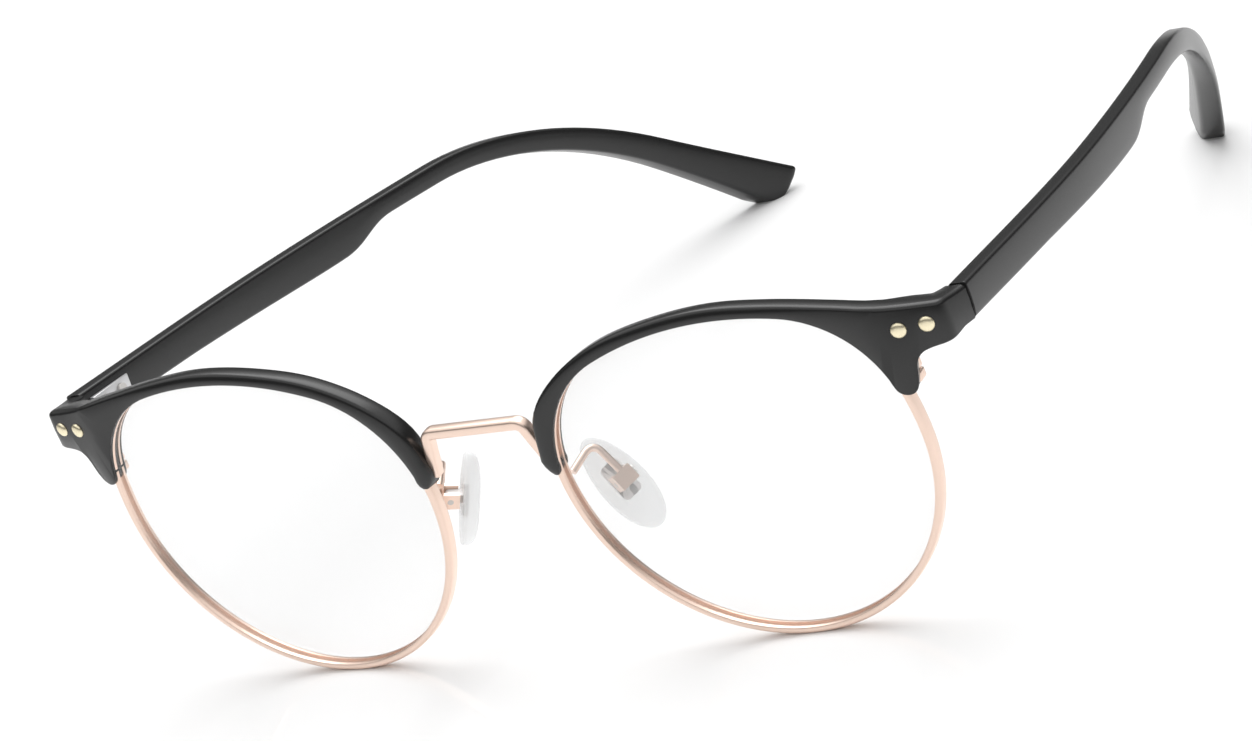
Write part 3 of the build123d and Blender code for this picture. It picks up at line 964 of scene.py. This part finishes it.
    def face_at(self, face: Points, back: float) -> Pair:
        """Read the outer face's place and slope.

        Args:
            face: the outer face seen from above.
            back: where to read it.

        Returns:
            How far out the face is, and how fast that changes.
        """
        for a, b in zip(face, face[1:]):
            if a.y <= back <= b.y:
                slope = (b.x - a.x) / (b.y - a.y)
                return a.x + slope * (back - a.y), slope
        return face[-1].x, 0.0

    def build(self) -> None:
        """Build both temples."""
        face = self.outer_face()
        cuts = self.side_cuts()
        rings = [self.ring(cuts[0], face, 0.06)]
        near = [self.nudged(cuts[0], back) for back in (0.05, 0.2)]
        rings += [self.ring(cut, face, 0.0) for cut in near + cuts[1:]]
        rings += [self.ring(cuts[-1], face, inset) for inset in (0.12, 0.5)]
        for side in Side:
            bm = bmesh.new()
            loft(bm, rings)
            settle(bm, side, "temple", "arm", BLACK_PLASTIC, "temple")

    def nudged(self, cut: TempleCut, back: float) -> TempleCut:
        """Move a cut straight back by a distance."""
        return cut[0] + Vector((back, 0)), cut[1] + Vector((back, 0)), cut[2]


# ---- nose pads ----


@dataclass(frozen=True)
class NosePads:
    """Two soft clear pads, each on a bent wire arm."""

    centre: Triple = (11.6, 8.1, -4.7)
    long_axis: Triple = (0.457, 0.076, -0.885)
    normal: Triple = (-0.725, 0.609, -0.322)
    length: float = 14.3
    width: float = 6.2
    slide: float = 0.45
    arm_radius: float = 0.5
    points: int = 64
    taper: float = 0.1
    arm: tuple[Triple, ...] = ((10.35, 1.2, -0.2), (11.6, 5.3, 1.9), (14.0, 5.7, -2.4))
    arm_bend: float = 1.5
    shell: tuple[Pair, ...] = (
        (6.6, -1.1), (3.2, -1.1), (1.3, -1.1), (0.35, -1.03), (0.05, -0.8), (0.0, -0.45), (0.1, -0.05),
        (0.4, 0.35), (0.95, 0.68), (1.8, 0.9), (3.0, 1.03), (6.6, 1.1),
    )

    def frame(self) -> Matrix:
        """Place the pad.

        Returns:
            The matrix from (along, across, towards the nose) to the drawing.
        """
        z = Vector(self.normal).normalized()
        x = Vector(self.long_axis)
        x = (x - z * x.dot(z)).normalized()
        turned = Matrix((x, z.cross(x), z)).transposed().to_4x4()
        return Matrix.Translation(self.centre) @ turned

    def build(self) -> None:
        """Build both pads and both arms."""
        place = self.frame()
        half_length, half_width = self.length / 2, self.width / 2
        for side in Side:
            bm = bmesh.new()
            rings = []
            for inset, height in self.shell:
                ring = []
                for k in range(self.points):
                    angle = tau * k / self.points
                    along = self.slide + (half_length - inset) * cos(angle)
                    reach = half_width * (1 - inset / half_length) * (1 + self.taper * cos(angle))
                    ring.append(place @ Vector((along, reach * sin(angle), height)))
                rings.append(ring)
            loft(bm, rings)
            settle(bm, side, "nose_pad", "soft", CLEAR_PAD, "pad")
            bm = bmesh.new()
            path = rounded_path([Vector(p) for p in self.arm], self.arm_bend, 12)
            circle = rounded_rectangle(2 * self.arm_radius, 2 * self.arm_radius, self.arm_radius - 0.001)
            sweep(bm, circle, path, Vector((1, 0, 0)))
            settle(bm, side, "pad_arm", "wire", ROSE_GOLD)


# ---- hinges, closing blocks and their screws ----


def block(bm: BMesh, low: Sequence[float], high: Sequence[float]) -> list[BMVert]:
    """Add a plain block between two corners.

    Args:
        bm: the mesh that the block is added to.
        low: its low corner.
        high: its high corner.

    Returns:
        Its vertices.
    """
    low, high = Vector(low), Vector(high)
    size = Matrix.Diagonal(high - low).to_4x4()
    return bmesh.ops.create_cube(bm, size=1, matrix=Matrix.Translation((low + high) / 2) @ size)["verts"]


def barrel(bm: BMesh, centre: Sequence[float], radius: float, low: float, high: float) -> None:
    """Add an upright round barrel.

    Args:
        bm: the mesh that the barrel is added to.
        centre: its axis.
        radius: its radius.
        low: its lower end.
        high: its upper end.
    """
    place = Matrix.Translation((*centre, (low + high) / 2))
    bmesh.ops.create_cone(
        bm, cap_ends=True, segments=TURNS, radius1=radius, radius2=radius, depth=high - low, matrix=place
    )


def break_edges(bm: BMesh, width: float, segments: int) -> None:
    """Round every sharp edge.

    Args:
        bm: the mesh.
        width: width of the rounding.
        segments: how many strips it has.
    """
    bm.normal_update()
    edges = [e for e in bm.edges if len(e.link_faces) == 2 and e.calc_face_angle() > radians(50)]
    bmesh.ops.bevel(
        bm, geom=edges, offset=width, segments=segments, profile=0.5, affect="EDGES", material=-1,
        clamp_overlap=True,
    )


def slotted_screw(
    bm: BMesh, centre: Sequence[float], low: float, neck: float, top: float, radii: Pair
) -> None:
    """Add an upright screw with a slot across its head.

    Args:
        bm: the mesh that the screw is added to.
        centre: its axis.
        low: its lower end.
        neck: the underside of its head.
        top: the top of its head.
        radii: the shank's and the head's radius.
    """
    shank, head = radii
    soft = 0.25 * (top - neck)
    profile = ((0, low), (shank * 0.7, low), (shank, low + 0.12), (shank, neck), (head, neck))
    profile += ((head, top - soft), (head - soft, top), (0, top))
    spin_profile(bm, [(r, 0, z) for r, z in profile], (0, 0, 1))
    bmesh.ops.remove_doubles(bm, verts=bm.verts, dist=1e-4)
    half, reach = head * 0.17, head * 0.7
    for axis, sides in (((0, 1, 0), (-half, half)), ((1, 0, 0), (-reach, reach))):
        for side in sides:
            upper = [f for f in bm.faces if f.calc_center_median().z > top - 1e-3]
            geom = upper + list({e for f in upper for e in f.edges})
            geom += list({v for f in upper for v in f.verts})
            bmesh.ops.bisect_plane(bm, geom=geom, plane_co=Vector(axis) * side, plane_no=axis, dist=1e-5)
    slot = []
    for face in bm.faces:
        middle = face.calc_center_median()
        if middle.z > top - 1e-3 and abs(middle.y) < half and abs(middle.x) < reach:
            slot.append(face)
    walls = bmesh.ops.extrude_face_region(bm, geom=slot)["geom"]
    bmesh.ops.delete(bm, geom=slot, context="FACES_ONLY")
    moved = [v for v in walls if isinstance(v, BMVert)]
    bmesh.ops.translate(bm, vec=(0, 0, -0.6 * (top - neck)), verts=moved)
    bmesh.ops.translate(bm, vec=(*centre, 0), verts=bm.verts)


@dataclass(frozen=True)
class Hinges:
    """Two three-barrel hinges, each on a slotted screw, with a leaf let into the temple."""

    barrels: tuple[Pair, ...] = ((11.9, 12.76), (12.8, 13.64), (13.68, 14.5))
    radius: float = 1.1
    arm_half: float = 0.95
    arm_start: float = 3.6
    inner_x: float = 66.96
    leaf: float = 0.75
    leaf_reach: Pair = (8.1, 15.9)
    leaf_height: Pair = (11.95, 14.95)
    knuckle_reach: float = 2.4
    head_top: float = 14.78
    screw_below: float = 0.15
    screw_radii: Pair = (0.58, 0.9)

    def build(self) -> None:
        """Build both hinges."""
        pin = PIN.xy
        for side in Side:
            bm = bmesh.new()
            for low, high in (self.barrels[0], self.barrels[2]):
                barrel(bm, pin, self.radius, low, high)
                block(bm, (pin.x - self.arm_half, self.arm_start, low), (pin.x + self.arm_half, pin.y, high))
            break_edges(bm, 0.09, 2)
            settle(bm, side, "front_hinge", "barrels", NICKEL)
            bm = bmesh.new()
            low, high = self.barrels[1]
            barrel(bm, pin, self.radius, low, high)
            block(bm, (pin.x, pin.y, low), (self.inner_x, pin.y + self.knuckle_reach, high))
            face = self.inner_x - self.leaf
            (near, far), (bottom, top) = self.leaf_reach, self.leaf_height
            block(bm, (face, near, bottom), (self.inner_x + 0.1, far, top))
            break_edges(bm, 0.12, 3)
            settle(bm, side, "temple_hinge", "leaf", NICKEL, "temple")
            bm = bmesh.new()
            low, neck = self.barrels[0][0] - self.screw_below, self.barrels[2][1]
            slotted_screw(bm, pin, low, neck, self.head_top, self.screw_radii)
            settle(bm, side, "hinge_screw", "slotted", STEEL)


@dataclass(frozen=True)
class ClosingBlocks:
    """The small split blocks behind each brow's tip that a screw draws together to hold the lens."""

    across: Pair = (24.85, 27.0)
    deep: Pair = (1.5, 3.3)
    heights: tuple[Pair, ...] = ((5.7, 6.98), (7.12, 8.4))
    screw_at: Pair = (25.75, 2.45)
    screw_below: float = 0.1
    screw_head: float = 0.3
    screw_radii: Pair = (0.42, 0.6)

    def build(self) -> None:
        """Build both pairs with their screws."""
        plane = LENS_SHAPE.plane()
        for side in Side:
            for half, (low, high) in zip(("lower", "upper"), self.heights):
                bm = bmesh.new()
                block(bm, (self.across[0], self.deep[0], low), (self.across[1], self.deep[1], high))
                break_edges(bm, 0.28, 4)
                bmesh.ops.transform(bm, matrix=plane, verts=bm.verts)
                settle(bm, side, f"closing_block_{half}", "rounded", ROSE_GOLD)
            bm = bmesh.new()
            low, neck = self.heights[0][0] - self.screw_below, self.heights[1][1]
            slotted_screw(bm, self.screw_at, low, neck, neck + self.screw_head, self.screw_radii)
            bmesh.ops.transform(bm, matrix=plane, verts=bm.verts)
            settle(bm, side, "closing_screw", "slotted", STEEL)


# ---- small hardware that keeps its own shape ----


@dataclass(frozen=True)
class Hardware:
    """The frame's small nodes that are shown as they are, each given its finish."""

    finishes: tuple[tuple[Finish, tuple[str, ...]], ...] = (
        (ROSE_GOLD, ("pad_box",)),
        (STEEL, ("pad_screw", "temple_pins")),
        (DRAWN_WIRE, ("temple_core",)),
        (CLEAR_INSERT, ("pad_insert",)),
    )

    def dress(self) -> None:
        """Give every small node its finish."""
        for finish, names in self.finishes:
            for side in Side:
                for name in names:
                    node = frame["nodes"][f"{side.prefix}_{name}"]
                    node.data.materials.clear()
                    node.data.materials.append(finish.material())
                    log.info("%s_%s keeps its shape in %s", side.prefix, name, finish.slot)


# ---- studio ----


@dataclass(frozen=True)
class Studio:
    """A pale floor, soft light from above and behind, and the camera."""

    azimuth: float = 36.255
    elevation: float = 16.906
    roll: float = -18.937
    distance: float = 602.6
    target: Triple = (8.55, 21.053, 4.779)
    lens_mm: float = 136.9
    floor_half: float = 4.0
    floor_gray: float = 0.94
    floor_roughness: float = 0.6
    floor_coat: Pair = (0.6, 0.03)
    sky: Pair = (0.12, 1.05)
    sky_band: Pair = (0.3, 0.62)
    softbox_size: float = 0.9
    softbox_energy: float = 6.0
    softbox_at: Triple = (-0.15, 0.35, 0.9)

    def camera(self) -> None:
        """Place the camera."""
        az, el, roll = (radians(v) for v in (self.azimuth, self.elevation, self.roll))
        back = Vector((sin(az) * cos(el), -cos(az) * cos(el), sin(el)))
        level = Vector((cos(az), sin(az), 0))
        up = back.cross(level)
        right = level * cos(roll) + up * sin(roll)
        above = up * cos(roll) - level * sin(roll)
        turned = Matrix((right, above, back)).transposed()
        camera = bpy.data.objects.new("camera", bpy.data.cameras.new("camera"))
        camera.data.lens = self.lens_mm
        camera.data.sensor_width = 36.0
        camera.data.clip_start = 0.01
        place = STAND @ (Vector(self.target) + back * self.distance)
        camera.matrix_world = Matrix.Translation(place) @ (STAND.to_3x3() * 1000 @ turned).to_4x4()
        bpy.context.scene.collection.objects.link(camera)
        bpy.context.scene.camera = camera
        bpy.context.scene.view_settings.view_transform = "Standard"

    def floor(self) -> None:
        """Lay the floor."""
        bm = bmesh.new()
        bmesh.ops.create_grid(bm, x_segments=2, y_segments=2, size=self.floor_half)
        mesh = bpy.data.meshes.new("floor")
        bm.to_mesh(mesh)
        bm.free()
        material = bpy.data.materials.new("studio_floor")
        material.use_nodes = True
        shader = material.node_tree.nodes["Principled BSDF"]
        shader.inputs["Base Color"].default_value = (*[self.floor_gray] * 3, 1)
        shader.inputs["Roughness"].default_value = self.floor_roughness
        shader.inputs["Coat Weight"].default_value = self.floor_coat[0]
        shader.inputs["Coat Roughness"].default_value = self.floor_coat[1]
        mesh.materials.append(material)
        floor = bpy.data.objects.new("floor", mesh)
        bpy.context.scene.collection.objects.link(floor)

    def lights(self) -> None:
        """Light the scene from a sky that is dim low down and bright overhead, and one softbox."""
        world = bpy.data.worlds.new("studio")
        bpy.context.scene.world = world
        world.use_nodes = True
        nodes, links = world.node_tree.nodes, world.node_tree.links
        place = nodes.new("ShaderNodeTexCoord")
        parts = nodes.new("ShaderNodeSeparateXYZ")
        links.new(place.outputs["Generated"], parts.inputs[0])
        strength = remap(world.node_tree, parts.outputs["Z"], self.sky_band, self.sky, "SMOOTHSTEP")
        links.new(strength, nodes["Background"].inputs["Strength"])
        nodes["Background"].inputs["Color"].default_value = (1, 1, 1, 1)
        light = bpy.data.objects.new("softbox", bpy.data.lights.new("softbox", "AREA"))
        light.data.size = self.softbox_size
        light.data.energy = self.softbox_energy
        light.location = self.softbox_at
        light.rotation_euler = (-light.location).to_track_quat("-Z", "Y").to_euler()
        bpy.context.scene.collection.objects.link(light)

    def build(self) -> None:
        """Set up the studio."""
        self.camera()
        self.floor()
        self.lights()


def main() -> None:
    """Build every sub-assembly in order, then the studio."""
    logging.basicConfig(level=logging.INFO, format="%(name)s: %(message)s")
    assemblies = (Rims, Lenses, Bridge, Brows, Rivets, Temples, Hinges, ClosingBlocks, NosePads)
    for assembly in assemblies:
        log.info("building %s", assembly.__name__)
        assembly().build()
    Hardware().dress()
    Studio().build()


if __name__ == "__main__":
    main()
